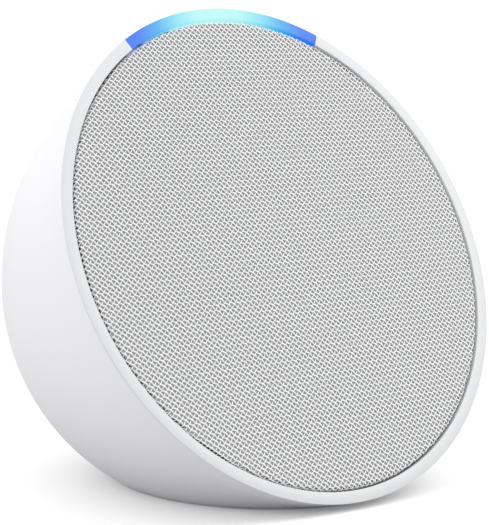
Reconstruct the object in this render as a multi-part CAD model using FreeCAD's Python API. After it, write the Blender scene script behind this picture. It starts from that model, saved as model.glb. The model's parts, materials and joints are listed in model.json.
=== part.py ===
import FreeCAD, Part
import math
import os
from FreeCAD import Placement, Rotation, Vector

# A half-ball smart speaker, in millimetres.  Two frames are used:
#   row frame   +Z up, floor at Z = 0, the fabric disc looks towards -Y;
#   disc frame  x = X, u = up the disc, w = depth behind the disc's front face.
# Everything that sits behind the disc is made in the disc frame and placed once.

# ---- driving dimensions ---------------------------------------------------------
DISC_RADIUS = 49.5          # outer edge of the front ring
TILT = 25.33                # the disc leans back from upright, degrees
DISC_CENTRE_Z = 46.25       # height of the disc's centre above the floor

SHELL_RADIUS = 48.35        # the shell is an ellipsoid of revolution about the disc's axis
SHELL_DEPTH = 62.4          # its half length along that axis
SHELL_CENTRE = 2.4          # its centre, behind the disc's face
RIM_RADIUS = 49.45          # the shell flares out to this at its front edge
FLARE_DEPTH = 10.0
WALL = 2.2

SEAM = 0.4                  # the shell starts this far behind the disc's face
RING_INNER = 47.15          # visible ring
RING_FLANGE = 0.3
FABRIC_RADIUS = 46.8
FABRIC_THICKNESS = 0.6
BEZEL_BODY_RADIUS = 47.6
LEDGE_RADIUS = 45.2
LEDGE_FRONT, LEDGE_BACK = 3.0, 4.5
SHELL_STEP = 4.7            # depth of the shell's rebate for the ring

LIGHT_HALF_ANGLE = 28.8     # the light bar spans twice this about the disc's top
LIGHT_DEPTH = 2.5
LED_COUNT = 6

SHELL_BOTTOM = 0.70         # lower edge of the shell
BASE_LOW, BASE_HIGH = 0.15, 0.62    # visible band of the base plate
BASE_TOP = 2.6
FLOOR_LOW, FLOOR_TOP = 2.7, 4.9     # the shell's own floor
FOOT_TOP = 0.95

BUTTON_DEPTH = 14.0         # centre of the button row behind the disc's face
BUTTON_PITCH = 15.0
BUTTON_RADIUS = 4.7
BUTTON_GAP = 0.2
BUTTON_FLANGE = 5.6
BUTTON_BOARD = 9.6          # depth of the button board under the shell's surface
BUTTON_FLOAT = 0.15         # gap between a button's flange and the shell's inner wall

BAFFLE_FRONT, BAFFLE_BACK = 9.0, 11.0
BAFFLE_RADIUS = 44.6
BOX_RADIUS_INSET = 14.0     # the speaker box is an ellipsoid this far inside the shell
BOX_WALL = 1.8
BOX_BACK = 40.0
BOX_LOW = 10.5              # the speaker box is flat below this height
DRIVER_HOLE = 23.2
BAFFLE_SCREW_RADIUS = 40.3

BOARD_FRONT, BOARD_BACK = 43.0, 44.2
PORT_U = -4.0               # the power inlet, on the shell's pole, a little low
PORT_RADIUS = 4.2
JACK_FRONT, JACK_BACK = 49.5, 59.9
JACK_PIN_RADIUS = 0.8
JACK_BORE_RADIUS = 2.1

FIT = 0.03                  # clearance of a screw in its own hole

# ---- frames ---------------------------------------------------------------------
SIN, COS = math.sin(math.radians(TILT)), math.cos(math.radians(TILT))
FRONT_Y = -DISC_RADIUS * SIN
BACK_Y = SHELL_CENTRE * COS + math.hypot(SHELL_RADIUS * SIN, SHELL_DEPTH * COS)
DISC_CENTRE_Y = -(FRONT_Y + BACK_Y) / 2
DISC = Placement(Vector(0, DISC_CENTRE_Y, DISC_CENTRE_Z), Rotation(Vector(1, 0, 0), 90 - TILT))


def shell_radius_at(depth, inset=0.0):
    """Radius of the shell's ellipsoid, or of one that far inside it, at a depth."""
    share = (depth - SHELL_CENTRE) / (SHELL_DEPTH - inset)
    return (SHELL_RADIUS - inset) * math.sqrt(max(0.0, 1 - share * share))


BUTTON_SLOPE = math.degrees(math.atan2(
    SHELL_RADIUS ** 2 * (BUTTON_DEPTH - SHELL_CENTRE),
    SHELL_DEPTH ** 2 * shell_radius_at(BUTTON_DEPTH)))
# button frame: x = X, y = back along the shell, z = out of the shell
TOP = DISC.multiply(Placement(
    Vector(0, shell_radius_at(BUTTON_DEPTH), -BUTTON_DEPTH),
    Rotation(Vector(1, 0, 0), -(90 + BUTTON_SLOPE))))


def placed(shape, placement=DISC):
    """A copy of a shape made in the disc frame (or another), put in the row frame."""
    moved = shape.copy()
    moved.Placement = placement.multiply(moved.Placement)
    return moved


# ---- simple solids in the disc frame --------------------------------------------
def rod(radius, w0, w1, x=0.0, u=0.0):
    """Cylinder along the disc's axis from depth w0 back to w1."""
    return Part.makeCylinder(radius, w1 - w0, Vector(x, u, -w1))


def ring(inner, outer, w0, w1, x=0.0, u=0.0):
    return rod(outer, w0, w1, x, u).cut(rod(inner, w0 - 1, w1 + 1, x, u))


def block(x0, x1, u0, u1, w0, w1):
    return Part.makeBox(x1 - x0, u1 - u0, w1 - w0, Vector(x0, u0, -w1))


def wedge(half_angle, w0, w1, centre=90.0):
    """Pie slice about the disc's axis, centred on the disc's top unless told."""
    slice_ = Part.makeCylinder(60, w1 - w0, Vector(0, 0, -w1), Vector(0, 0, 1), 2 * half_angle)
    slice_.rotate(Vector(0, 0, 0), Vector(0, 0, 1), centre - half_angle)
    return slice_


def lathe(outline):
    """Revolve a closed outline of (radius, depth) points about the disc's axis."""
    points = [Vector(r, 0, -w) for r, w in outline]
    wire = Part.makePolygon(points + points[:1])
    return Part.Face(wire).revolve(Vector(0, 0, 0), Vector(0, 0, 1), 360)


def around(radius, count, start=0.0):
    """Points (x, u) evenly spaced on a circle about the disc's axis."""
    for i in range(count):
        angle = math.radians(start + 360.0 * i / count)
        yield radius * math.cos(angle), radius * math.sin(angle)


def spun(profile_edges):
    """Revolve closed edges of the x-z plane about the disc's axis."""
    face = Part.Face(Part.Wire(profile_edges))
    return face.revolve(Vector(0, 0, 0), Vector(0, 0, 1), 360)


def ellipsoid(inset, front):
    """Solid inside the shell's ellipsoid, from the plane at depth front back to the pole."""
    centre = Vector(0, 0, -SHELL_CENTRE)
    pole = Vector(0, 0, -SHELL_CENTRE - SHELL_DEPTH + inset)
    curve = Part.Ellipse(pole, Vector(SHELL_RADIUS - inset, 0, -SHELL_CENTRE), centre)
    end = math.acos((front - SHELL_CENTRE) / (SHELL_DEPTH - inset))
    arc = Part.ArcOfEllipse(curve, 0, end).toShape()
    rim, middle = Vector(shell_radius_at(front, inset), 0, -front), Vector(0, 0, -front)
    return spun([arc, Part.makeLine(rim, middle), Part.makeLine(middle, pole)])


def outer_form(front):
    """The whole outer form of the shell: the ellipsoid with its flared rim."""
    centre = Vector(0, 0, -SHELL_CENTRE)
    pole = Vector(0, 0, -SHELL_CENTRE - SHELL_DEPTH)
    curve = Part.Ellipse(pole, Vector(SHELL_RADIUS, 0, -SHELL_CENTRE), centre)
    join = math.acos((FLARE_DEPTH - SHELL_CENTRE) / SHELL_DEPTH)
    arc = Part.ArcOfEllipse(curve, 0, join).toShape()
    flare = RIM_RADIUS - shell_radius_at(0)
    steps = 8
    points = []
    for i in range(steps + 1):
        depth = FLARE_DEPTH + (front - FLARE_DEPTH) * i / steps
        radius = shell_radius_at(depth) + flare * (1 - depth / FLARE_DEPTH) ** 2
        points.append(Vector(radius, 0, -depth))
    spline = Part.BSplineCurve()
    spline.interpolate(points)
    middle = Vector(0, 0, -front)
    return spun([arc, spline.toShape(), Part.makeLine(points[-1], middle),
                 Part.makeLine(middle, pole)])


# ---- helpers in the row frame ---------------------------------------------------
def slab(z0, z1):
    """All space between two heights."""
    return Part.makeBox(200, 200, z1 - z0, Vector(-100, -100, z0))


def section(z, inset=0.0):
    """Centre y and half-axes of the ellipse that the ellipsoid leaves at a height."""
    a, b = SHELL_RADIUS - inset, SHELL_DEPTH - inset
    reach = math.hypot(a * COS, b * SIN)
    down = z - DISC_CENTRE_Z + SHELL_CENTRE * SIN
    left = math.sqrt(1 - (down / reach) ** 2)
    centre = DISC_CENTRE_Y + SHELL_CENTRE * COS - (b * b - a * a) * SIN * COS * down / reach ** 2
    return centre, a * left, a * b / reach * left


def oval(half_x, half_y, centre_y, z0, z1):
    """Upright cylinder with an elliptical outline, its long axis along Y."""
    curve = Part.Ellipse(Vector(0, centre_y + half_y, z0), Vector(half_x, centre_y, z0),
                         Vector(0, centre_y, z0))
    return Part.Face(Part.Wire([curve.toShape()])).extrude(Vector(0, 0, z1 - z0))


def screw(shank, length, head, head_height):
    """Pan-head cross-recess screw: head on top, shank down -z from the origin."""
    body = Part.makeCylinder(head, head_height).fuse(
        Part.makeCylinder(shank, length, Vector(0, 0, -length)))
    bit = head * 0.62
    slot = head * 0.2
    for cut in (Part.makeBox(2 * bit, 2 * slot, head_height, Vector(-bit, -slot, head_height * 0.45)),
                Part.makeBox(2 * slot, 2 * bit, head_height, Vector(-slot, -bit, head_height * 0.45))):
        body = body.cut(cut)
    return body


def screws(spots, shank, length, head, head_height):
    """The same screw at each placement in spots, as one group of separate solids."""
    pieces = []
    for spot in spots:
        piece = screw(shank, length, head, head_height)
        piece.Placement = spot
        pieces.append(piece)
    return Part.makeCompound(pieces)


def tube(points, radius, bend):
    """Round wire along straight runs joined by tangent arcs."""
    edges, last = [], points[0]
    for before, corner, after in zip(points, points[1:], points[2:]):
        back = (before - corner).normalize()
        ahead = (after - corner).normalize()
        half = back.getAngle(ahead) / 2
        reach = bend / math.tan(half)
        start, end = corner + back * reach, corner + ahead * reach
        middle = (back + ahead).normalize()
        centre_distance = bend / math.sin(half)
        crown = corner + middle * (centre_distance - bend)
        edges.append(Part.makeLine(last, start))
        edges.append(Part.Arc(start, crown, end).toShape())
        last = end
    edges.append(Part.makeLine(last, points[-1]))
    path = Part.Wire(edges)
    circle = Part.makeCircle(radius, points[0], points[1] - points[0])
    return path.makePipe(Part.Face(Part.Wire([circle])))


def strip(points, width, thickness):
    """Flat cable of the (w, u) route given, centred on x = 0 in the disc frame."""
    sides = [[], []]
    for i, (w, u) in enumerate(points):
        w_a, u_a = points[max(0, i - 1)]
        w_b, u_b = points[min(len(points) - 1, i + 1)]
        long = math.hypot(w_b - w_a, u_b - u_a)
        nw, nu = -(u_b - u_a) / long, (w_b - w_a) / long
        for side, sign in zip(sides, (0.5, -0.5)):
            side.append(Vector(-width / 2, u + sign * thickness * nu, -(w + sign * thickness * nw)))
    loop = sides[0] + sides[1][::-1]
    return Part.Face(Part.makePolygon(loop + loop[:1])).extrude(Vector(width, 0, 0))


# ---- shared forms ---------------------------------------------------------------
OUTER = placed(outer_form(SEAM))
BUTTON_XS = {"mic_off": -BUTTON_PITCH, "volume_down": 0.0, "volume_up": BUTTON_PITCH}
MIC_XS = (-BUTTON_PITCH / 2, BUTTON_PITCH / 2)
BUTTON_POSTS = [(-BUTTON_PITCH / 2, 5.6), (BUTTON_PITCH / 2, 5.6)]   # across, back
BASE_Y, BASE_X_HALF, BASE_Y_HALF = section(SHELL_BOTTOM)
BASE_SCREWS = [(sx * 12.0, BASE_Y + sy * 15.0) for sx in (-1, 1) for sy in (-1, 1)]
BAFFLE_SCREWS = list(around(BAFFLE_SCREW_RADIUS, 4, 45.0))
JACK_SCREW_X = 10.0
BOARD_SCREWS = [(-20.0, 14.0), (20.0, 14.0), (-17.0, -15.0), (17.0, -15.0)]
DRIVER_SCREWS = list(around(29.0, 4, 45.0))
EVERYTHING_ABOVE = 120.0


def inset_shell(inset, front=SHELL_STEP):
    return placed(ellipsoid(inset, front))


def top_rod(radius, low, high, x=0.0, back=0.0):
    """Cylinder square to the button row, between two heights over the shell's surface."""
    return placed(Part.makeCylinder(radius, high - low, Vector(x, back, low)), TOP)


def top_block(x, half_x, half_y, low, high):
    return placed(Part.makeBox(2 * half_x, 2 * half_y, high - low,
                               Vector(x - half_x, -half_y, low)), TOP)


# ---- casing ---------------------------------------------------------------------
def rear_shell():
    shell = OUTER.common(slab(SHELL_BOTTOM, EVERYTHING_ABOVE))
    cavity = inset_shell(WALL).common(slab(FLOOR_TOP, EVERYTHING_ABOVE))
    shell = shell.cut(cavity).cut(placed(rod(BEZEL_BODY_RADIUS + 0.15, 0, SHELL_STEP)))
    pocket = rod(48.75, 0, LIGHT_DEPTH + 0.1).fuse(rod(48.15, 0, 5.6))
    shell = shell.cut(placed(pocket.common(wedge(LIGHT_HALF_ANGLE + 1.2, 0, 5.6))))
    recess = oval(BASE_X_HALF - 1.5, BASE_Y_HALF - 1.5, BASE_Y, 0, FLOOR_LOW)
    shell = shell.cut(recess)
    bosses = [placed(rod(3.0, BAFFLE_BACK + 0.1, 30, x, u)) for x, u in BAFFLE_SCREWS]
    bosses += [placed(rod(2.2, JACK_FRONT, 62, sx * JACK_SCREW_X, PORT_U)) for sx in (-1, 1)]
    bosses += [placed(rod(PORT_RADIUS + 1.8, JACK_BACK + 0.1, 63, 0, PORT_U))]
    bosses += [top_rod(1.7, -BUTTON_BOARD, -1, x, back) for x, back in BUTTON_POSTS]
    for boss in bosses:
        shell = shell.fuse(boss.common(OUTER))
    for x, y in BASE_SCREWS:
        shell = shell.fuse(Part.makeCylinder(2.6, 5.0, Vector(x, y, FLOOR_LOW)))
    holes = [placed(rod(1.1 + FIT, BAFFLE_BACK - 1, 20.6, x, u)) for x, u in BAFFLE_SCREWS]
    holes += [placed(rod(0.9 + FIT, JACK_FRONT - 1, 55.2, sx * JACK_SCREW_X, PORT_U))
              for sx in (-1, 1)]
    holes += [placed(rod(PORT_RADIUS, JACK_BACK - 1, 70, 0, PORT_U))]
    holes += [top_rod(0.8 + FIT, -BUTTON_BOARD - 1, -7.4, x, back) for x, back in BUTTON_POSTS]
    holes += [top_rod(BUTTON_RADIUS + BUTTON_GAP, -12, 6, x) for x in BUTTON_XS.values()]
    holes += [top_rod(0.45, -6, 3, x) for x in MIC_XS]
    holes += [Part.makeCylinder(1.1 + FIT, 7.0, Vector(x, y, 0)) for x, y in BASE_SCREWS]
    for hole in holes:
        shell = shell.cut(hole)
    return shell.removeSplitter()


def front_bezel():
    body = ring(RING_INNER, BEZEL_BODY_RADIUS, 0, LEDGE_BACK)
    body = body.fuse(ring(RING_INNER, DISC_RADIUS, 0, RING_FLANGE))
    body = body.cut(wedge(LIGHT_HALF_ANGLE, -1, LEDGE_FRONT - 0.05))
    ledge = ring(LEDGE_RADIUS, BEZEL_BODY_RADIUS, LEDGE_FRONT, LEDGE_BACK)
    notch = ring(46.6, 60, LEDGE_FRONT - 1, LEDGE_BACK + 1).common(
        wedge(LIGHT_HALF_ANGLE + 0.6, LEDGE_FRONT - 1, LEDGE_BACK + 1))
    return placed(body.fuse(ledge).cut(notch).removeSplitter())


def light_bar():
    """Translucent bar: a thin flange flush with the ring, over a deeper light guide."""
    bar = ring(RING_INNER + 0.05, DISC_RADIUS - 0.03, 0, RING_FLANGE)
    bar = bar.fuse(ring(RING_INNER + 0.05, 48.6, 0, LIGHT_DEPTH))
    return placed(bar.common(wedge(LIGHT_HALF_ANGLE - 0.1, -1, LIGHT_DEPTH + 1)))


def led_spots():
    for i in range(LED_COUNT):
        yield 90 + LIGHT_HALF_ANGLE * 0.84 * (2 * i / (LED_COUNT - 1) - 1)


def led_reflector():
    frame = ring(46.7, 48.0, LIGHT_DEPTH + 0.1, LEDGE_BACK).common(
        wedge(LIGHT_HALF_ANGLE, 0, LEDGE_BACK))
    for angle in led_spots():
        frame = frame.cut(wedge(1.9, 0, LEDGE_BACK, angle).common(ring(46.95, 47.8, 0, LEDGE_BACK)))
    return placed(frame)


def leds():
    chips = []
    for angle in led_spots():
        chip = Part.makeBox(0.7, 2.0, 1.0, Vector(47.02, -1.0, -LEDGE_BACK - 0.05))
        chip.rotate(Vector(0, 0, 0), Vector(0, 0, 1), angle)
        chips.append(placed(chip))
    return Part.makeCompound(chips)


def led_board():
    return placed(ring(46.1, 47.95, LEDGE_BACK + 0.05, LEDGE_BACK + 0.85).common(
        wedge(LIGHT_HALF_ANGLE + 0.5, 0, 10)))


# ---- fabric front ---------------------------------------------------------------
def grille_fabric():
    face = rod(FABRIC_RADIUS, 0, FABRIC_THICKNESS)
    skirt = ring(FABRIC_RADIUS - 0.4, FABRIC_RADIUS, 0, 2.6)
    return placed(face.fuse(skirt).removeSplitter())


def grille_frame():
    plate = rod(FABRIC_RADIUS - 0.43, FABRIC_THICKNESS + 0.03, 2.6)
    plate = plate.cut(rod(44.0, 1.9, 4))
    pitch, flats = 7.0, 5.2
    corner = flats / math.sqrt(3)
    holes = []
    rows = int(42 / (pitch * math.sqrt(3) / 2))
    for row in range(-rows, rows + 1):
        u = row * pitch * math.sqrt(3) / 2
        for column in range(-7, 8):
            x = (column + 0.5 * (row % 2)) * pitch
            if math.hypot(x, u) + corner > 42.5:
                continue
            outline = [Vector(x + corner * math.sin(math.radians(60 * k)),
                              u + corner * math.cos(math.radians(60 * k)), -3) for k in range(7)]
            holes.append(Part.Face(Part.makePolygon(outline)).extrude(Vector(0, 0, 3)))
    return placed(plate.cut(Part.makeCompound(holes)))


def grille_gasket():
    return placed(ring(LEDGE_RADIUS + 0.2, 46.5, 2.63, LEDGE_FRONT - 0.03))


# ---- speaker driver -------------------------------------------------------------
FLANGE_FRONT, FLANGE_BACK = 7.6, 8.65
SURROUND_OUTER, SURROUND_INNER = 22.2, 17.6


def driver_basket():
    flange = ring(21.6, 26.2, FLANGE_FRONT, FLANGE_BACK)
    for x, u in DRIVER_SCREWS:
        flange = flange.fuse(rod(3.4, FLANGE_FRONT, FLANGE_BACK, x, u))
        arm = block(-3.4, 3.4, 23, 29, FLANGE_FRONT, FLANGE_BACK)
        arm.rotate(Vector(0, 0, 0), Vector(0, 0, 1), math.degrees(math.atan2(u, x)) - 90)
        flange = flange.fuse(arm)
    bowl = lathe([(21.6, FLANGE_FRONT), (22.8, FLANGE_FRONT), (22.8, 14.0), (19.0, 18.0),
                  (10.6, 18.0), (10.6, 16.9), (17.9, 16.9), (21.6, 13.3)])
    for angle in range(0, 360, 60):
        window = wedge(17, 10.4, 15.0, angle).common(ring(16.5, 30, 10.4, 15.0))
        bowl = bowl.cut(window)
    basket = flange.fuse(bowl)
    for x, u in DRIVER_SCREWS:
        basket = basket.cut(rod(1.0 + FIT, FLANGE_FRONT - 1, FLANGE_BACK + 1, x, u))
    return placed(basket.removeSplitter())


def driver_surround():
    """Half-roll of rubber between the basket and the cone."""
    centre = (SURROUND_OUTER + SURROUND_INNER) / 2 - 0.3
    roll = 1.75
    outline = [(SURROUND_INNER - 0.8, 7.5), (centre - roll, 7.5)]
    outline += [(centre - roll * math.cos(math.radians(a)), 7.5 - roll * math.sin(math.radians(a)))
                for a in range(20, 161, 20)]
    outline += [(centre + roll, 7.5), (SURROUND_OUTER + 2.3, 7.5), (SURROUND_OUTER + 2.3, 7.1),
                (centre + roll + 0.4, 7.1)]
    outline += [(centre + (roll + 0.4) * math.cos(math.radians(a)),
                 7.1 - (roll + 0.3) * math.sin(math.radians(a))) for a in range(20, 161, 20)]
    outline += [(centre - roll - 0.4, 7.1), (SURROUND_INNER - 0.8, 7.1)]
    return placed(lathe(outline))


def driver_cone():
    return placed(lathe([(17.5, 7.55), (9.72, 12.3), (9.72, 12.9), (17.5, 8.2), (17.9, 8.2),
                         (17.9, 7.55)]))


def dust_cap():
    sphere_radius, rim, depth = 14.0, 9.6, 11.2
    centre = depth + math.sqrt(sphere_radius ** 2 - rim ** 2)
    outer = Part.makeSphere(sphere_radius, Vector(0, 0, -centre))
    inner = Part.makeSphere(sphere_radius - 0.4, Vector(0, 0, -centre))
    return placed(outer.cut(inner).common(rod(rim, 0, depth)))


def voice_coil():
    former = ring(9.45, 9.68, 11.3, 21.0)
    winding = ring(9.68, 10.0, 17.6, 21.4)
    return placed(former.fuse(winding).removeSplitter())


def driver_spider():
    """Corrugated cloth ring that centres the coil."""
    front, thick = 14.4, 0.35
    radii = [9.72 + i * 1.12 for i in range(8)]
    top = [(r, front + (0.45 if i % 2 else 0.0)) for i, r in enumerate(radii)]
    return placed(lathe(top + [(r, w + thick) for r, w in reversed(top)]))


def magnet_parts():
    """Front plate, ring magnet and the yoke with its centre pole."""
    plate = ring(10.5, 17.0, 18.05, 21.0)
    magnet = ring(11.6, 18.5, 21.03, 27.0)
    yoke = rod(18.0, 27.03, 30.0).fuse(rod(9.0, 17.2, 28.0)).cut(rod(2.5, 15, 31))
    return placed(plate), placed(magnet), placed(yoke.removeSplitter())


def driver_terminals():
    tags = [block(x - 1.2, x + 1.2, -26.1, -23.52, 12.2, 12.8) for x in (-3.0, 3.0)]
    board = block(-5.0, 5.0, -23.5, -22.85, 11.2, 14.0)
    return placed(Part.makeCompound(tags + [board]))


def driver_gasket():
    return placed(ring(23.4, 26.0, FLANGE_BACK + 0.02, BAFFLE_FRONT))


# ---- speaker box ----------------------------------------------------------------
def speaker_baffle():
    plate = rod(BAFFLE_RADIUS, BAFFLE_FRONT + 0.02, BAFFLE_BACK)
    plate = plate.cut(block(-30, 30, 35.2, 60, 0, 20))
    plate = plate.cut(rod(DRIVER_HOLE, 0, 20))
    for x, u in BAFFLE_SCREWS:
        plate = plate.cut(rod(1.1 + FIT, 0, 20, x, u))
    for x, u in DRIVER_SCREWS:
        plate = plate.fuse(rod(2.0, BAFFLE_FRONT + 0.02, 14.6, x, u)).cut(rod(1.0 + FIT, 0, 13.9, x, u))
    return placed(plate).common(slab(6.0, EVERYTHING_ABOVE))


def speaker_box():
    """Sealed cup behind the baffle, flat below and at the back."""
    outside = placed(ellipsoid(BOX_RADIUS_INSET, BAFFLE_BACK + 0.6).common(rod(60, 0, BOX_BACK)))
    inside = placed(ellipsoid(BOX_RADIUS_INSET + BOX_WALL, 0.1).common(
        rod(60, 0, BOX_BACK - BOX_WALL)))
    cup = outside.common(slab(BOX_LOW, EVERYTHING_ABOVE))
    cup = cup.cut(inside.common(slab(BOX_LOW + BOX_WALL, EVERYTHING_ABOVE)))
    for x, u in BOARD_SCREWS:
        cup = cup.fuse(placed(rod(2.4, BOX_BACK - 8, BOARD_FRONT - 0.02, x, u)))
        cup = cup.cut(placed(rod(0.9 + FIT, BOX_BACK - 4.6, BOARD_FRONT + 1, x, u)))
    cup = cup.cut(placed(rod(2.0, 30, 45, 0, -12)))
    return cup.removeSplitter()


def box_seal():
    outside = placed(ellipsoid(BOX_RADIUS_INSET, BAFFLE_BACK).common(
        rod(60, BAFFLE_BACK + 0.03, BAFFLE_BACK + 0.57)))
    inside = placed(ellipsoid(BOX_RADIUS_INSET + BOX_WALL, BAFFLE_BACK - 3))
    return outside.common(slab(BOX_LOW, EVERYTHING_ABOVE)).cut(
        inside.common(slab(BOX_LOW + BOX_WALL, EVERYTHING_ABOVE)))


def lead_grommet():
    body = ring(1.35, 1.97, 36.9, 41.4, 0, -12).fuse(ring(1.35, 3.0, 40.05, 41.0, 0, -12))
    return placed(body.removeSplitter())


# ---- electronics ----------------------------------------------------------------
def main_board():
    board = block(-25, 25, -21, 22, BOARD_FRONT, BOARD_BACK).common(rod(30.5, 40, 50))
    for x, u in BOARD_SCREWS:
        board = board.cut(rod(0.9 + FIT, 40, 50, x, u))
    return placed(board)


def board_chips():
    front = BOARD_FRONT - 0.02
    chips = [block(-10, -1, 2, 11, front - 1.0, front), block(4, 11, 3, 10, front - 1.0, front),
             block(-6, 4, -6, -1, front - 1.4, front), block(8, 13, -8, -3, front - 1.2, front)]
    return placed(Part.makeCompound(chips))


def shield_can():
    can = block(-15, 9, -4, 16, BOARD_BACK + 0.02, BOARD_BACK + 2.4)
    return placed(can.cut(block(-14.75, 8.75, -3.75, 15.75, BOARD_BACK, BOARD_BACK + 2.15)))


def thermal_pad():
    return placed(block(-11, 5, 2, 12, BOARD_BACK + 2.43, BOARD_BACK + 3.2))


def heat_spreader():
    plate = block(-16, 16, 3, 18, BOARD_BACK + 3.23, BOARD_BACK + 4.0)
    return placed(plate.common(rod(25, 40, 60)))


def board_connectors():
    rear = BOARD_BACK + 0.02
    blocks = [block(-4, 4, 18.2, 21.4, BOARD_FRONT - 1.6, BOARD_FRONT - 0.02),
              block(13, 19.4, -7, -2.5, rear, rear + 2.0),
              block(-3.5, 3.5, -19, -15, rear, rear + 3.0)]
    return placed(Part.makeCompound(blocks))


def dc_jack():
    body = block(-4.6, 4.6, PORT_U - 4.4, PORT_U + 4.4, JACK_FRONT, JACK_BACK)
    return placed(body.cut(rod(JACK_BORE_RADIUS, JACK_FRONT + 1.5, 70, 0, PORT_U)))


def dc_jack_pin():
    return placed(rod(JACK_PIN_RADIUS, JACK_FRONT + 1.5, JACK_BACK - 0.5, 0, PORT_U))


def jack_board():
    board = block(-13, 13, PORT_U - 6, PORT_U + 6, JACK_FRONT - 1.25, JACK_FRONT - 0.03)
    for sx in (-1, 1):
        board = board.cut(rod(0.9 + FIT, 45, 52, sx * JACK_SCREW_X, PORT_U))
    return placed(board)


def wires(routes, radius, bend):
    """One insulated wire along each route of (x, u, w) points in the disc frame."""
    return Part.makeCompound([placed(tube([Vector(x, u, -w) for x, u, w in route], radius, bend))
                              for route in routes])


def power_leads():
    """Two wires from the inlet's board forward to the main board."""
    run = JACK_FRONT - 1.95
    routes = []
    for start, end, across in ((7.5, 17.3, 1.4), (11.6, 15.3, -0.1)):
        routes.append([(start, across, run), (end, across, run), (end, -4.8, run),
                       (end, -4.8, BOARD_BACK + 2.05)])
    return wires(routes, 0.5, 0.65)


def speaker_leads():
    """Two wires from the driver's tags, through the box's grommet, to the main board."""
    routes = []
    for side in (-1, 1):
        routes.append([(side * 3.0, -25.4, 12.85), (side * 3.0, -24.6, 21.0),
                       (side * 2.0, -20.6, 31.5), (side * 0.66, -12.0, 35.0),
                       (side * 0.66, -12.0, BOARD_FRONT - 0.3)])
    return wires(routes, 0.6, 3.0)


def button_ribbon():
    route = [(16.8, 35.7), (22.5, 34.9), (28.0, 33.2), (34.0, 30.4), (39.6, 26.2), (42.1, 21.5)]
    return placed(strip(route, 7.0, 0.25))


def antennas():
    """Two flexible patches bonded inside the shell, left and right."""
    skin = inset_shell(WALL + 0.05, 12).cut(inset_shell(WALL + 0.3, 11))
    patches = []
    for sx in (-1, 1):
        x = min(sx * 25, sx * 50)
        patches.append(skin.common(placed(block(x, x + 25, -4, 14, 22, 32))))
    return Part.makeCompound(patches)


# ---- buttons --------------------------------------------------------------------
def button(x):
    """Cap flush with the shell, a curved flange under the wall and a short stem."""
    under = inset_shell(WALL + BUTTON_FLOAT + 0.8)
    cap = OUTER.common(top_rod(BUTTON_RADIUS, -12, 4, x))
    flange = inset_shell(WALL + BUTTON_FLOAT).common(top_rod(BUTTON_FLANGE, -12, 4, x))
    shape = cap.fuse(flange).cut(under)
    stem = top_rod(1.5, -BUTTON_BOARD + 2.3, -2.6, x).common(inset_shell(1.0))
    return shape.fuse(stem).removeSplitter()


def plunger(x):
    return top_rod(0.95, -BUTTON_BOARD + 1.0, -BUTTON_BOARD + 2.27, x)


def tact_switches():
    bodies = []
    for x in BUTTON_XS.values():
        body = top_block(x, 2.3, 2.3, -BUTTON_BOARD + 0.02, -BUTTON_BOARD + 1.6)
        bodies.append(body.cut(top_rod(1.15, -BUTTON_BOARD + 0.4, -2, x)))
    return Part.makeCompound(bodies)


def button_board():
    board = placed(Part.makeBox(44.4, 12.6, 1.0, Vector(-22.2, -4.6, -BUTTON_BOARD - 1.0)), TOP)
    for x, back in BUTTON_POSTS:
        board = board.cut(top_rod(0.8 + FIT, -15, -5, x, back))
    return board


def microphones():
    return Part.makeCompound([top_block(x, 1.5, 2.0, -BUTTON_BOARD + 0.02, -BUTTON_BOARD + 1.1)
                              for x in MIC_XS])


def mic_gaskets():
    """Rubber tubes that carry the sound from the shell's holes to the microphones."""
    wall = inset_shell(WALL + 0.02)
    return Part.makeCompound([top_rod(1.5, -BUTTON_BOARD + 1.13, -1, x).common(wall)
                              .cut(top_rod(0.6, -15, 2, x)) for x in MIC_XS])


def ribbon_connector():
    return placed(Part.makeBox(8.0, 2.2, 1.1, Vector(-4.0, 2.2, -BUTTON_BOARD - 2.12)), TOP)


# ---- base -----------------------------------------------------------------------
def base_plate():
    band = OUTER.common(slab(BASE_LOW, BASE_HIGH))
    plug = oval(BASE_X_HALF - 1.6, BASE_Y_HALF - 1.6, BASE_Y, BASE_HIGH, BASE_TOP)
    base = band.fuse(plug)
    base = base.cut(oval(BASE_X_HALF - 3.4, BASE_Y_HALF - 3.4, BASE_Y, 0, FOOT_TOP + 0.03))
    for x, y in BASE_SCREWS:
        base = base.cut(Part.makeCylinder(1.1 + FIT, 4, Vector(x, y, 0)))
        base = base.cut(Part.makeCylinder(2.1, 1.0, Vector(x, y, FOOT_TOP)))
    return base.removeSplitter()


def foot_pad():
    return oval(BASE_X_HALF - 3.5, BASE_Y_HALF - 3.5, BASE_Y, 0, FOOT_TOP)


# ---- fasteners ------------------------------------------------------------------
def in_disc(x, u, w):
    """Placement of a screw whose head lies at depth w and whose shank runs back."""
    return DISC.multiply(Placement(Vector(x, u, -w), Rotation()))


def base_screws():
    turn = Rotation(Vector(1, 0, 0), 180)
    spots = [Placement(Vector(x, y, FOOT_TOP + 1.0), turn) for x, y in BASE_SCREWS]
    return screws(spots, 1.1, 4.8, 2.0, 0.9)


def jack_screws():
    spots = [in_disc(sx * JACK_SCREW_X, PORT_U, JACK_FRONT - 1.28) for sx in (-1, 1)]
    return screws(spots, 0.9, 6.0, 1.7, 0.9)


def button_board_screws():
    turn = Placement(Vector(), Rotation(Vector(1, 0, 0), 180))
    spots = [TOP.multiply(Placement(Vector(x, back, -BUTTON_BOARD - 1.03), Rotation())).multiply(turn)
             for x, back in BUTTON_POSTS]
    return screws(spots, 0.8, 2.9, 1.5, 0.7)


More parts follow.
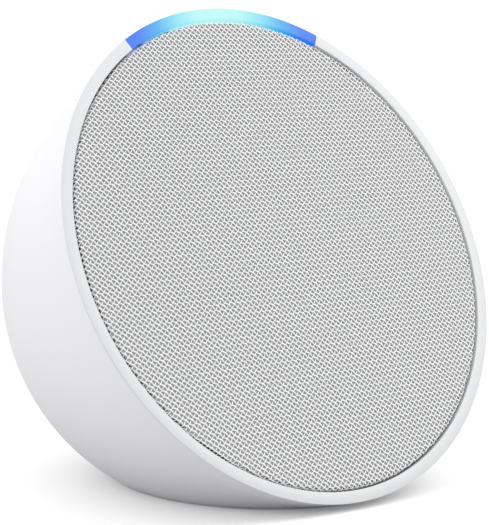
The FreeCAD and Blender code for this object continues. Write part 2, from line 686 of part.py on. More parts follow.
def write(nodes):
    """One STEP file for each node; every node has to be sound solids."""
    os.makedirs("parts", exist_ok=True)
    for name, shape in nodes.items():
        if not shape.Solids or not shape.isValid():
            raise ValueError(name + " is not a valid solid")
        whole = shape.Solids[0] if len(shape.Solids) == 1 else Part.makeCompound(shape.Solids)
        whole.exportStep("parts/" + name + ".step")
        box = whole.optimalBoundingBox()
        print("%-22s %2d solids %9.1f mm3  x %.1f..%.1f y %.1f..%.1f z %.1f..%.1f" % (
            name, len(shape.Solids), shape.Volume, box.XMin, box.XMax, box.YMin, box.YMax,
            box.ZMin, box.ZMax))


def build():
    nodes = {
        "rear_shell": rear_shell(), "front_bezel": front_bezel(), "light_bar": light_bar(),
        "led_reflector": led_reflector(), "indicator_leds": leds(), "led_board": led_board(),
        "grille_fabric": grille_fabric(), "grille_frame": grille_frame(),
        "grille_gasket": grille_gasket(), "driver_basket": driver_basket(),
        "driver_surround": driver_surround(), "driver_cone": driver_cone(),
        "dust_cap": dust_cap(), "voice_coil": voice_coil(), "driver_spider": driver_spider(),
        "driver_terminals": driver_terminals(), "driver_gasket": driver_gasket(),
        "speaker_baffle": speaker_baffle(), "speaker_box": speaker_box(),
        "box_seal": box_seal(), "lead_grommet": lead_grommet(), "main_board": main_board(),
        "board_chips": board_chips(), "shield_can": shield_can(), "thermal_pad": thermal_pad(),
        "heat_spreader": heat_spreader(), "board_connectors": board_connectors(),
        "dc_jack": dc_jack(), "dc_jack_pin": dc_jack_pin(), "jack_board": jack_board(),
        "power_leads": power_leads(), "speaker_leads": speaker_leads(),
        "button_ribbon": button_ribbon(), "antennas": antennas(),
        "tact_switches": tact_switches(), "button_board": button_board(),
        "microphones": microphones(), "mic_gaskets": mic_gaskets(),
        "ribbon_connector": ribbon_connector(), "base_plate": base_plate(),
        "foot_pad": foot_pad(), "base_screws": base_screws(), "jack_screws": jack_screws(),
        "button_board_screws": button_board_screws(),
        "baffle_screws": screws([in_disc(x, u, BAFFLE_FRONT) for x, u in BAFFLE_SCREWS],
                                1.1, 10.5, 2.2, 1.2),
        "driver_screws": screws([in_disc(x, u, FLANGE_FRONT - 0.02) for x, u in DRIVER_SCREWS],
                                1.0, 6.0, 2.0, 1.1),
        "board_screws": screws([DISC.multiply(Placement(Vector(x, u, -BOARD_BACK - 0.02),
                                                        Rotation(Vector(1, 0, 0), 180)))
                                for x, u in BOARD_SCREWS], 0.9, 5.0, 1.7, 0.9),
    }
    front_plate, magnet, yoke = magnet_parts()
    nodes.update({"magnet_front_plate": front_plate, "ring_magnet": magnet, "magnet_yoke": yoke})
    for name, x in BUTTON_XS.items():
        nodes[name + "_button"] = button(x)
        nodes[name + "_plunger"] = plunger(x)
    return nodes


write(build())
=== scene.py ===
"""Looks of a half-ball smart speaker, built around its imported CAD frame.

Laid out as an add-on: property groups hold the sizes and colours, one operator makes each
piece or group of like pieces, and a sidebar panel lists them.  Row frame: metres, +Z up, the
fabric disc looks towards -Y.  Disc frame: x = X, y = up the disc, z = out of its front.
"""
import json
import math

import bpy
import bmesh
from bpy.props import FloatProperty, FloatVectorProperty, IntProperty, PointerProperty, StringProperty
from mathutils import Matrix, Vector

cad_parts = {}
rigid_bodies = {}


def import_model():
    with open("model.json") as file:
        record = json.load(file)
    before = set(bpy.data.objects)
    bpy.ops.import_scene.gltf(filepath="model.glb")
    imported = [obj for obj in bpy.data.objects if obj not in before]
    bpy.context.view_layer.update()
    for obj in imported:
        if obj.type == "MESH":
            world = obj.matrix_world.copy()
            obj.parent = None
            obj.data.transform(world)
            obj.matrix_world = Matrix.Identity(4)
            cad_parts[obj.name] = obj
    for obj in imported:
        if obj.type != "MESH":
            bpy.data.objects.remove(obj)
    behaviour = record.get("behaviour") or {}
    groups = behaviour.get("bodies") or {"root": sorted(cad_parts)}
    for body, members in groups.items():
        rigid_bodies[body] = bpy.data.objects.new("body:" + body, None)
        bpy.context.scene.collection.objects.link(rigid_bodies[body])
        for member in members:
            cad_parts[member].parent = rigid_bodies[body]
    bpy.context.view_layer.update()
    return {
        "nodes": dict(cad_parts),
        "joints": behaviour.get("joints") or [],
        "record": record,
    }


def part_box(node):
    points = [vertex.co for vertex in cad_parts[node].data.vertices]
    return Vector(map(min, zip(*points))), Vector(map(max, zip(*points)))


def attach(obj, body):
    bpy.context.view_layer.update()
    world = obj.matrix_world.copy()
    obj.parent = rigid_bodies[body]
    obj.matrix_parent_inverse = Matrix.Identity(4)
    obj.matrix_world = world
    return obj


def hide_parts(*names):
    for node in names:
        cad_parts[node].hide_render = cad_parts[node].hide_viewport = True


for left_over in list(bpy.data.objects):
    bpy.data.objects.remove(left_over)
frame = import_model()

bl_info = {
    "name": "Half-ball smart speaker",
    "version": (1, 0, 0),
    "blender": (4, 5, 0),
    "location": "3D View > Sidebar > Speaker",
    "description": "Builds the fabric front, ring, light bar, buttons and finishes of a smart speaker",
    "category": "Add Mesh",
}

MM = 0.001

# ---- the disc frame, from the CAD model ------------------------------------------
CONE_AXIS = Vector(next(j["axis"] for j in frame["joints"] if j["name"] == "cone_travel"))
PRESS_AXIS = Vector(next(j["axis"] for j in frame["joints"] if j["name"] == "volume_down_press"))
DISC_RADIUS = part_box("front_bezel")[1].x
DISC_UP = Vector((0.0, CONE_AXIS.z, -CONE_AXIS.y))
BAR_INSET = 0.03 * MM           # how far the CAD light bar's rim lies inside the ring's
DISC_CENTRE = Vector((0.0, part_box("front_bezel")[0].y + DISC_RADIUS * DISC_UP.y,
                      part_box("light_bar")[1].z - (DISC_RADIUS - BAR_INSET) * DISC_UP.z))
DISC = Matrix.Translation(DISC_CENTRE) @ Matrix((
    (1, 0, 0), (0, DISC_UP.y, CONE_AXIS.y), (0, DISC_UP.z, CONE_AXIS.z))).to_4x4()
FABRIC_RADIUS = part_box("grille_fabric")[1].x

# ---- sizes that no setting changes, in metres and radians unless they say otherwise --------
SEAM = 0.12 * MM                # rounding of the ring's inner edge, which catches the light
RIM = 0.05 * MM                 # rounding of the ring's outer edge
HIDDEN_EDGE = 0.04 * MM         # rounding of the ring's edges inside the casing
GUIDE_FRONT_EDGE = 0.06 * MM    # rounding of the light guide's front edges
GUIDE_BACK_EDGE = 0.03 * MM     # rounding of its other edges
GUIDE_GAP = 0.05 * MM           # gap round the light guide
GUIDE_END_GAP = math.radians(0.1)   # gap at each of its two ends
BRIDGE_LAP = math.radians(0.3)  # how far the bridge runs into the ring at both ends
FILAMENTS = 7                   # bundles of filaments that show round one thread
THREAD_SIDES = 6                # sides of a thread's oval section
SAMPLE_SHARE = 0.253            # distance between a thread's points, as a share of the pitch
RIB_DEPTH = 0.005 * MM          # relief of a filament rib
RIB_WANDER = 3.0                # how far the fuzz moves the ribs
CLOTH_THICKNESS = 0.1 * MM      # of the grey sheet behind the threads, whose grey is partly painted shade
CLOTH_HEM = 2.2 * MM            # depth of the grey sheet's lower edge
RING_SEGMENTS, BRIDGE_SEGMENTS, GUIDE_SEGMENTS = 300, 60, 120
CLOTH_SEGMENTS, SOFT_RING_SEGMENTS = 180, 144
MARK_STEP = 0.4 * MM            # distance between a printed stroke's cross sections
MARK_ROOT = -0.08 * MM          # how far a mark goes into its button
FLOOR_SIZE = 60.0
FLOOR_ROUGHNESS = 0.9           # a share, as the shader takes it
BOUNCE_DROP = 0.1 * MM          # how far the bounce card lies under the floor
LAMP_TARGET = Vector((0, 0, 0.045))     # the middle of the speaker, which the lights face


def millimetres(name, value, text):
    return FloatProperty(name=name, description=text, default=value * MM, unit="LENGTH", precision=6)


def colour(name, code, text):
    return StringProperty(name=name, description=text + ", as an sRGB hex code", default=code)


class RingSettings(bpy.types.PropertyGroup):
    inner: millimetres("Inner radius", 47.15, "Inner edge of the visible ring")
    thickness: millimetres("Flange", 0.22, "Thickness of the ring's visible flange")
    body: millimetres("Body radius", 47.6, "Outer radius of the ring's hidden body")
    ledge: millimetres("Ledge radius", 45.2, "Inner radius of the ledge that holds the grille")
    bridge: millimetres("Bridge radius", 46.6, "Outer radius of the ledge under the light bar")
    ledge_front: millimetres("Ledge front", 3.0, "Depth of the ledge's front face")
    ledge_back: millimetres("Ledge back", 4.5, "Depth of the ledge's back face")
    light_angle: FloatProperty(name="Light bar half angle", description="Half of the light bar's arc",
                               default=math.radians(28.8), subtype="ANGLE")
    light_depth: millimetres("Light guide depth", 2.5, "How deep the light bar's body goes")
    light_body: millimetres("Light guide body radius", 48.6, "Outer radius of its hidden body")
    # the ring is the same white plastic as the shell; its colour is set greyer than the shell's as
    # painted shade, for the less light that falls on the disc's front
    colour: colour("Ring colour", "D3D4D5", "Moulded ring")


class LightSettings(bpy.types.PropertyGroup):
    ends: colour("End colour", "1A6BF0", "Glow at the bar's two ends")
    shoulder: colour("Shoulder colour", "40ABEA", "Glow between the ends and the middle")
    middle: colour("Middle colour", "B7F0EE", "Glow at the bar's middle")
    strength: FloatProperty(name="Strength", description="Brightness of the glow", default=1.0, min=0.0)


class WeaveSettings(bpy.types.PropertyGroup):
    pitch: millimetres("Thread pitch", 0.844, "Distance between neighbouring threads")
    angle: FloatProperty(name="Thread angle", description="Threads run this far from level, both ways",
                         default=math.radians(40.6), subtype="ANGLE")
    width: millimetres("Thread width", 0.265, "Width of a thread between two crossings")
    spread: FloatProperty(name="Spread", description="How much a thread flattens out at a crossing",
                          default=0.65)
    thickness: millimetres("Thread thickness", 0.18, "Thickness of a pressed thread")
    crimp: millimetres("Crimp", 0.13, "How far a thread rises and falls")
    twist: millimetres("Twist", 0.32, "Length of thread between two filament ribs")
    edge: millimetres("Edge rounding", 0.32, "Radius of the fold over the frame's edge")
    skirt: millimetres("Skirt", 1.2, "Cloth that goes down the frame's side")
    bands: IntProperty(name="Bands", description="Pieces that each thread family is split into",
                       default=4, min=1)
    thread: colour("Thread colour", "FAFAFA", "Polyester thread")
    # the grey sheet's colour stands in for the dark grille and the shade seen through the weave's
    # openings: partly painted shade
    backing: colour("Backing colour", "B5B6B7", "Scrim behind the open weave")


class ShellSettings(bpy.types.PropertyGroup):
    radius: millimetres("Shell radius", 48.35, "Radial half-width of the shell's ellipsoid")
    depth: millimetres("Shell depth", 62.4, "Its half length along the disc's axis")
    centre: millimetres("Shell centre", 2.4, "Its centre behind the disc's face")
    colour: colour("Shell colour", "E5E5E7", "Moulded shell")
    mark: colour("Mark colour", "8A8D90", "Printed button marks")
    mark_height: millimetres("Mark height", 0.04, "How far a printed mark stands proud")


class StageSettings(bpy.types.PropertyGroup):
    lens: FloatProperty(name="Lens", description="Focal length for a 36 mm sensor", default=157.33)
    eye: FloatVectorProperty(name="Eye", description="Camera's place from the disc's centre",
                             default=(-0.28184, -0.32231, 0.05011), subtype="TRANSLATION")
    target: FloatVectorProperty(name="Target", description="What the camera looks at, from there",
                                default=(-0.00633, 0.00492, -0.00255), subtype="TRANSLATION")
    floor: colour("Floor colour", "F8F8F8", "Plain floor that the camera sees")
    floor_glow: FloatProperty(name="Floor glow", description="Evens out the floor's white", default=0.1)
    bounce: colour("Bounce colour", "CACACA", "Card that bounces light up at the object")
    sky: FloatProperty(name="Sky", description="Brightness of the soft light all round", default=1.03)
    sky_lean: FloatVectorProperty(name="Sky lean", description="How it grows along each axis",
                                  default=(-0.05, 0.1, 0.13))


# ---- small helpers -----------------------------------------------------------------
def linear(code):
    """An sRGB hex code as linear colour with alpha."""
    parts = [int(code[i:i + 2], 16) / 255 for i in (0, 2, 4)]
    return tuple(c / 12.92 if c <= 0.04045 else ((c + 0.055) / 1.055) ** 2.4 for c in parts) + (1.0,)


def add(tree, kind, values=None, **settings):
    """Add a node.  settings are its properties; values maps an input's name or number to a
    value, or to the output socket that feeds it."""
    node = tree.nodes.new(kind)
    for key, value in settings.items():
        setattr(node, key, value)
    for key, value in (values or {}).items():
        if isinstance(value, bpy.types.NodeSocket):
            tree.links.new(value, node.inputs[key])
        else:
            node.inputs[key].default_value = value
    return node


def mesh_object(name, bm, material, smooth_angle=35.0):
    """Turn a bmesh into a finished piece: outward normals, smooth where it curves."""
    mesh = bpy.data.meshes.new(name)
    bm.normal_update()
    bm.to_mesh(mesh)
    bm.free()
    mesh.polygons.foreach_set("use_smooth", [True] * len(mesh.polygons))
    mesh.set_sharp_from_angle(angle=math.radians(smooth_angle))
    mesh.materials.append(material)
    piece = bpy.data.objects.new(name, mesh)
    bpy.context.scene.collection.objects.link(piece)
    return piece


def finish_piece(piece, body, slot, *nodes):
    """Say what the piece rides on and the CAD nodes it replaces; its material slot is not used."""
    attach(piece, body)
    if nodes:
        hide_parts(*nodes)


def rounded(corners, radius, steps=3):
    """Round a closed outline's corners: each is (x, y), or (x, y, own radius)."""
    outline = []
    count = len(corners)
    for i, corner in enumerate(corners):
        here = Vector(corner[:2])
        r = corner[2] if len(corner) > 2 else radius
        back = Vector(corners[i - 1][:2]) - here
        ahead = Vector(corners[(i + 1) % count][:2]) - here
        if r <= 0:
            outline.append(here)
            continue
        back_unit, ahead_unit = back.normalized(), ahead.normalized()
        half = back_unit.angle(ahead_unit) / 2
        reach = min(r / math.tan(half), back.length * 0.49, ahead.length * 0.49)
        r = reach * math.tan(half)
        centre = here + (back_unit + ahead_unit).normalized() * (r / math.sin(half))
        start, end = here + back_unit * reach - centre, here + ahead_unit * reach - centre
        turn = start.angle_signed(end)
        for k in range(steps + 1):
            a = -turn * k / steps
            outline.append(centre + Vector((start.x * math.cos(a) - start.y * math.sin(a),
                                            start.x * math.sin(a) + start.y * math.cos(a))))
    return outline


def lathe(outline, segments, start=0.0, end=math.tau):
    """Closed solid from a closed outline of (radius, height), turned about the disc's axis."""
    bm = bmesh.new()
    full = end - start > math.tau - 1e-6
    rings = []
    for k in range(segments if full else segments + 1):
        a = start + (end - start) * k / segments
        rings.append([bm.verts.new((r * math.cos(a), r * math.sin(a), h)) for r, h in outline])
    for k in range(segments):
        one, two = rings[k], rings[(k + 1) % len(rings)]
        for i in range(len(outline)):
            j = (i + 1) % len(outline)
            bm.faces.new((one[i], one[j], two[j], two[i]))
    if not full:
        bm.faces.new(rings[0])
        bm.faces.new(rings[-1][::-1])
    bmesh.ops.remove_doubles(bm, verts=bm.verts, dist=1e-7)
    bmesh.ops.recalc_face_normals(bm, faces=bm.faces)
    bm.transform(DISC)
    return bm


# ---- materials -----------------------------------------------------------------------
def material(name, base, roughness, metallic=0.0, **sockets):
    """A Principled material and its tree, with the constants set on the shader itself."""
    mat = bpy.data.materials.new(name)
    mat.use_nodes = True
    shader = mat.node_tree.nodes["Principled BSDF"]
    shader.inputs["Base Color"].default_value = linear(base)
    shader.inputs["Roughness"].default_value = roughness
    shader.inputs["Metallic"].default_value = metallic
    for key, value in sockets.items():
        shader.inputs[key.replace("_", " ")].default_value = value
    return mat, mat.node_tree, shader


def own_place(tree):
    """The piece's own coordinates."""
    return add(tree, "ShaderNodeTexCoord").outputs["Object"]


def relief(tree, shader, height, depth, strength=1.0):
    """Bump the surface by a pattern, to a real depth."""
    bump = add(tree, "ShaderNodeBump", {"Height": height, "Strength": strength, "Distance": depth})
    tree.links.new(bump.outputs[0], shader.inputs["Normal"])


def grain(tree, shader, size_mm, depth_mm, kind="ShaderNodeTexNoise", stretch=(1, 1, 1)):
    """Surface relief of a real grain size, from the piece's own coordinates."""
    place = add(tree, "ShaderNodeMapping", {"Vector": own_place(tree), "Scale": stretch}).outputs[0]
    pattern = add(tree, kind, {"Vector": place, "Scale": 1 / (size_mm * MM)}).outputs[0]
    relief(tree, shader, pattern, depth_mm * MM)
    return pattern


def mottle(tree, shader, socket, low, high, pattern):
    """Let a pattern move a value gently between two levels."""
    levels = add(tree, "ShaderNodeMapRange", {"Value": pattern, "From Min": 0.3, "From Max": 0.7,
                                              "To Min": low, "To Max": high})
    tree.links.new(levels.outputs[0], shader.inputs[socket])


def tint(tree, shader, first, second, pattern, low=0.35, high=0.65):
    """Blend two near colours with a pattern."""
    ramp = add(tree, "ShaderNodeValToRGB", {"Fac": pattern})
    ramp.color_ramp.elements[0].position, ramp.color_ramp.elements[1].position = low, high
    ramp.color_ramp.elements[0].color, ramp.color_ramp.elements[1].color = linear(first), linear(second)
    tree.links.new(ramp.outputs[0], shader.inputs["Base Color"])


def spark_textured_polycarbonate(name, base, shade, roughness=0.42):
    """White polycarbonate blend from a spark-eroded mould: an even, very fine matt grain that
    softens every highlight into a broad glow."""
    mat, tree, shader = material(name, base, roughness, IOR=1.55)
    fine = grain(tree, shader, 0.25, 0.004)
    mottle(tree, shader, "Roughness", roughness - 0.04, roughness + 0.04, fine)
    flow = add(tree, "ShaderNodeTexNoise", {"Vector": own_place(tree), "Scale": 1 / (38 * MM),
                                            "Detail": 1.0})
    tint(tree, shader, base, shade, flow.outputs[0], 0.3, 0.75)
    return mat


def moulded_plastic(name, base, shade, roughness):
    """Moulded engineering plastic: slight flow marks and a fine matt grain."""
    mat, tree, shader = material(name, base, roughness, IOR=1.5)
    pattern = grain(tree, shader, 0.3, 0.006)
    tint(tree, shader, base, shade, pattern)
    mottle(tree, shader, "Roughness", roughness - 0.05, roughness + 0.05, pattern)
    return mat


def silicone_rubber(name, base, shade, roughness=0.62):
    """Moulded silicone or butyl rubber: soft, dull and a little dusty."""
    mat, tree, shader = material(name, base, roughness, IOR=1.43, Sheen_Weight=0.15)
    pattern = grain(tree, shader, 0.5, 0.012)
    tint(tree, shader, base, shade, pattern)
    return mat


def closed_cell_foam(name, base, shade):
    """Die-cut foam: open skin pores that swallow light."""
    mat, tree, shader = material(name, base, 0.92, IOR=1.4)
    pattern = grain(tree, shader, 0.25, 0.05, "ShaderNodeTexVoronoi")
    tint(tree, shader, shade, base, pattern, 0.1, 0.6)
    return mat


def rolled_metal(name, base, shade, roughness):
    """Rolled or ground metal: fine lines along one way, which draw the highlight out."""
    mat, tree, shader = material(name, base, roughness, 1.0)
    pattern = grain(tree, shader, 0.4, 0.003, stretch=(1, 12, 1))
    tint(tree, shader, base, shade, pattern)
    mottle(tree, shader, "Roughness", roughness - 0.06, roughness + 0.08, pattern)
    return mat


def solder_masked_glass_epoxy(name, base, shade):
    """Circuit board: green mask over a woven glass cloth, whose weave just shows."""
    mat, tree, shader = material(name, base, 0.32, IOR=1.52, Coat_Weight=0.3, Coat_Roughness=0.15)
    place = own_place(tree)
    tracks = add(tree, "ShaderNodeTexBrick", {"Vector": place, "Scale": 1 / (2.4 * MM),
                                              "Color1": linear(base), "Color2": linear(base),
                                              "Mortar": linear(shade), "Mortar Size": 0.03})
    tree.links.new(tracks.outputs[0], shader.inputs["Base Color"])
    weave = add(tree, "ShaderNodeTexChecker", {"Vector": place, "Scale": 1 / (0.5 * MM)})
    relief(tree, shader, weave.outputs[1], 0.01 * MM, 0.3)
    return mat


def wound_copper_painted_shade(name, base, shade):
    """Enamelled copper wire in close turns: fine bright rings about the coil, which are painted highlight
    on each turn's crest and painted shade in the grooves between turns.
    """
    mat, tree, shader = material(name, base, 0.3, 1.0)
    turned = add(tree, "ShaderNodeMapping", {"Vector": own_place(tree),
                                             "Rotation": DISC.inverted().to_euler()}).outputs[0]
    turns = add(tree, "ShaderNodeTexWave", {"Vector": turned, "Scale": 1 / (0.9 * MM)},
                bands_direction="Z").outputs[1]
    relief(tree, shader, turns, 0.03 * MM)
    # the colour follows the turns' relief: painted shade in the grooves, painted highlight on the crests
    tint(tree, shader, shade, base, turns, 0.1, 0.7)
    return mat


def resin_dipped_cotton(name, base, shade):
    """Open cotton cloth set in resin: a coarse square weave with shiny threads."""
    mat, tree, shader = material(name, base, 0.55, IOR=1.5)
    pattern = grain(tree, shader, 0.5, 0.06, "ShaderNodeTexChecker")
    tint(tree, shader, shade, base, pattern, 0.2, 0.8)
    return mat


# each CAD material slot's finish: maker, colour, second colour, then its own numbers
SLOT_FINISHES = {
    "ring_plastic": (moulded_plastic, "F2F2F1", "F4F4F3", 0.34),
    "grille_plastic": (moulded_plastic, "3E4042", "36383A", 0.5),
    "foam": (closed_cell_foam, "242526", "101011"),
    "reflector_plastic": (moulded_plastic, "F0F0EC", "E4E4DF", 0.3),
    "led": (moulded_plastic, "F2E9B8", "E8DFA4", 0.2),
    "circuit_board": (solder_masked_glass_epoxy, "14522F", "2E7A4A"),
    "flex_film": (moulded_plastic, "B5701F", "A5641A", 0.28),
    "black_plastic": (moulded_plastic, "1B1C1E", "222326", 0.46),
    "chip": (moulded_plastic, "17181A", "202124", 0.55),
    "steel": (rolled_metal, "A9ABAE", "989A9E", 0.32),
    "tin_plate": (rolled_metal, "C4C5C4", "B4B5B5", 0.26),
    "aluminium": (rolled_metal, "C9CBCD", "BFC1C4", 0.36),
    "ferrite": (moulded_plastic, "2B2B2D", "353538", 0.6),
    "brass": (rolled_metal, "C9A45A", "B8924A", 0.28),
    "paper_cone": (closed_cell_foam, "1D1D1F", "121213"),
    "rubber": (silicone_rubber, "17181A", "1F2022"),
    "foot_rubber": (silicone_rubber, "A9ABAC", "9FA1A2"),
    "spider_cloth": (resin_dipped_cotton, "C29A55", "8E6C34"),
    # copper's second colour is painted shade in the grooves between turns
    "copper": (wound_copper_painted_shade, "C9733F", "7E3F1C"),
    "wire_cover": (silicone_rubber, "9E1E1A", "8A1916", 0.4),
    "thermal": (silicone_rubber, "8FA3B8", "8497AC"),
}


def lit_light_guide(settings):
    """Milky acrylic light guide, lit from behind: the glow runs from blue ends to a pale middle."""
    mat, tree, shader = material("milky_acrylic_lit", "0C1218", 0.28, IOR=1.49,
                                 Specular_IOR_Level=0.3, Emission_Strength=settings.strength)
    along = add(tree, "ShaderNodeSeparateXYZ", {0: own_place(tree)}).outputs["X"]
    far = add(tree, "ShaderNodeMath", {0: along}, operation="ABSOLUTE").outputs[0]
    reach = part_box("light_bar")[1].x
    share = add(tree, "ShaderNodeMapRange", {"Value": far, "From Max": reach}).outputs[0]
    glow = add(tree, "ShaderNodeValToRGB", {"Fac": share})
    ramp = glow.color_ramp
    ramp.elements[0].color, ramp.elements[1].color = linear(settings.middle), linear(settings.ends)
    for position, code in ((0.22, "AEEEED"), (0.43, "88DCEC"), (0.64, settings.shoulder),
                           (0.84, "3177E8")):
        ramp.elements.new(position).color = linear(code)
    tree.links.new(glow.outputs[0], shader.inputs["Emission Color"])
    return mat


def polyester_thread(settings):
    """White spun polyester yarn: filaments twist round each thread, so it is matt, faintly
    fuzzy and finely ribbed rather than smooth as wire."""
    mat, tree, shader = material("white_polyester_yarn", settings.thread, 0.78, IOR=1.5,
                                 Sheen_Weight=0.25, Sheen_Roughness=0.5)
    fuzz = add(tree, "ShaderNodeTexNoise", {"Vector": own_place(tree),
                                            "Scale": 1 / (0.09 * MM)}).outputs[0]
    tint(tree, shader, "F1F1F1", settings.thread, fuzz, 0.25, 0.6)
    along = add(tree, "ShaderNodeAttribute", attribute_name="along").outputs["Fac"]
    around = add(tree, "ShaderNodeAttribute", attribute_name="around").outputs["Fac"]
    twist = add(tree, "ShaderNodeMath", {0: along, 1: math.tau / settings.twist},
                operation="MULTIPLY").outputs[0]
    phase = add(tree, "ShaderNodeMath", {0: around, 1: math.tau * FILAMENTS, 2: twist},
                operation="MULTIPLY_ADD").outputs[0]
    phase = add(tree, "ShaderNodeMath", {0: fuzz, 1: RIB_WANDER, 2: phase},
                operation="MULTIPLY_ADD").outputs[0]
    ribs = add(tree, "ShaderNodeMath", {0: phase}, operation="SINE").outputs[0]
    relief(tree, shader, ribs, RIB_DEPTH)
    return mat


def grey_backing_painted_shade(settings):
    """Grey sheet behind the open weave: dull, with a fine random mottle.  Its grey stands in for the dark
    grille and the shade seen through the openings, so it is partly painted shade.
    """
    mat, tree, shader = material("grey_backing_sheet_painted_shade", settings.backing, 0.9, IOR=1.45)
    pattern = grain(tree, shader, 0.3, 0.02)
    tint(tree, shader, "A8A9AA", settings.backing, pattern, 0.3, 0.6)
    return mat


# ---- weave by geometry nodes -----------------------------------------------------------
def group_input(tree, name, kind, value=None):
    """Add an input to a node group and return its identifier."""
    socket = tree.interface.new_socket(name, in_out="INPUT", socket_type=kind)
    if value is not None:
        socket.default_value = value
    return socket.identifier


def weave_tree(settings):
    """Parallel threads across the disc: each rises over and dips under the other family, and
    folds down over the frame's edge.  Returns the tree and its inputs' identifiers."""
    tree = bpy.data.node_groups.new("woven_threads", "GeometryNodeTree")
    sizes = {"Thread Pitch": settings.pitch, "Thread Angle": settings.angle,
             "Thread Width": settings.width, "Spread": settings.spread,
             "Thread Thickness": settings.thickness, "Crimp": settings.crimp,
             "Fold Radius": settings.edge, "Skirt": settings.skirt,
             "Flat Radius": FABRIC_RADIUS - settings.edge - settings.crimp - settings.thickness / 2,
             "First Offset": 0.0, "Over Or Under": 1.0, "Sample Step": settings.pitch * SAMPLE_SHARE}
    names = {key: group_input(tree, key, "NodeSocketFloat", value) for key, value in sizes.items()}
    names["Threads"] = group_input(tree, "Threads", "NodeSocketInt")
    names["Material"] = group_input(tree, "Material", "NodeSocketMaterial")
    tree.interface.new_socket("Geometry", in_out="OUTPUT", socket_type="NodeSocketGeometry")
    given = add(tree, "NodeGroupInput").outputs

    def calc(operation, a, b=None, c=None):
        values = {i: v for i, v in enumerate((a, b, c)) if v is not None}
        return add(tree, "ShaderNodeMath", values, operation=operation).outputs[0]

    # one point for each thread, then a straight line as long as its chord of the disc
    start = add(tree, "ShaderNodeCombineXYZ", {"Y": given["First Offset"]}).outputs[0]
    step = add(tree, "ShaderNodeCombineXYZ", {"Y": given["Thread Pitch"]}).outputs[0]
    row = add(tree, "GeometryNodeMeshLine", {"Count": given["Threads"], "Start Location": start,
                                             "Offset": step}, mode="OFFSET").outputs[0]
    across = add(tree, "ShaderNodeSeparateXYZ", {0: add(tree, "GeometryNodeInputPosition").outputs[0]})
    fold_length = calc("MULTIPLY", given["Fold Radius"], math.pi / 2)
    reach = calc("ADD", calc("ADD", given["Flat Radius"], fold_length), given["Skirt"])
    chord = calc("SQRT", calc("MAXIMUM", calc("SUBTRACT", calc("MULTIPLY", reach, reach),
                                              calc("MULTIPLY", across.outputs["Y"],
                                                   across.outputs["Y"])), 1e-8))
    unit = add(tree, "GeometryNodeCurvePrimitiveLine", {"Start": (-1, 0, 0), "End": (1, 0, 0)})
    size = add(tree, "ShaderNodeCombineXYZ", {"X": chord, "Y": 1.0, "Z": 1.0}).outputs[0]
    lines = add(tree, "GeometryNodeInstanceOnPoints", {"Points": row, "Instance": unit.outputs[0],
                                                       "Scale": size}).outputs[0]
    lines = add(tree, "GeometryNodeRealizeInstances", {0: lines}).outputs[0]
    lines = add(tree, "GeometryNodeResampleCurve", {"Curve": lines, "Length": given["Sample Step"]},
                mode="LENGTH").outputs[0]

    # how far along the thread each point is, for the yarn's twist
    length = add(tree, "GeometryNodeSplineParameter").outputs["Length"]
    lines = add(tree, "GeometryNodeStoreNamedAttribute", {"Geometry": lines, "Name": "along",
                                                          "Value": length}).outputs[0]

    # turn to the thread angle, then fold over the edge
    here = add(tree, "GeometryNodeInputPosition").outputs[0]
    turn = add(tree, "ShaderNodeVectorRotate", {"Vector": here, "Angle": given["Thread Angle"]},
               rotation_type="Z_AXIS").outputs[0]
    flat = add(tree, "ShaderNodeSeparateXYZ", {0: turn}).outputs
    radius = calc("MAXIMUM", calc("SQRT", calc("ADD", calc("MULTIPLY", flat["X"], flat["X"]),
                                               calc("MULTIPLY", flat["Y"], flat["Y"]))), 1e-6)
    past = calc("MAXIMUM", calc("SUBTRACT", radius, given["Flat Radius"]), 0.0)
    lean = calc("MINIMUM", calc("DIVIDE", past, given["Fold Radius"]), math.pi / 2)
    down = calc("MAXIMUM", calc("SUBTRACT", past, fold_length), 0.0)
    lean_sin, lean_cos = calc("SINE", lean), calc("COSINE", lean)

    # rows of crossings lie level, so a thread's rise and fall depends only on its height on the disc
    waves = calc("MULTIPLY", calc("DIVIDE", calc("COSINE", given["Thread Angle"]),
                                  given["Thread Pitch"]), math.tau)
    wave = calc("COSINE", calc("MULTIPLY", flat["Y"], waves))
    rise = calc("MULTIPLY", calc("MULTIPLY", wave, given["Crimp"]), given["Over Or Under"])
    deep = calc("ADD", given["Crimp"], calc("MULTIPLY", given["Thread Thickness"], 0.5))
    bend = calc("ADD", given["Fold Radius"], rise)
    new_radius = calc("ADD", calc("SUBTRACT", radius, past), calc("MULTIPLY", lean_sin, bend))
    new_height = calc("SUBTRACT", calc("SUBTRACT", calc("MULTIPLY", lean_cos, bend),
                                       given["Fold Radius"]), calc("ADD", down, deep))
    share = calc("DIVIDE", new_radius, radius)
    spot = add(tree, "ShaderNodeCombineXYZ", {"X": calc("MULTIPLY", flat["X"], share),
                                              "Y": calc("MULTIPLY", flat["Y"], share),
                                              "Z": new_height}).outputs[0]
    out_share = calc("DIVIDE", lean_sin, radius)
    outward = add(tree, "ShaderNodeCombineXYZ", {"X": calc("MULTIPLY", flat["X"], out_share),
                                                 "Y": calc("MULTIPLY", flat["Y"], out_share),
                                                 "Z": lean_cos}).outputs[0]
    lines = add(tree, "GeometryNodeSetCurveNormal", {"Curve": lines, "Normal": outward},
                mode="FREE").outputs[0]
    spread = calc("ADD", calc("MULTIPLY", calc("MULTIPLY", wave, wave), given["Spread"]), 1.0)
    lines = add(tree, "GeometryNodeSetCurveRadius", {"Curve": lines, "Radius": spread}).outputs[0]
    lines = add(tree, "GeometryNodeSetPosition", {"Geometry": lines, "Position": spot}).outputs[0]

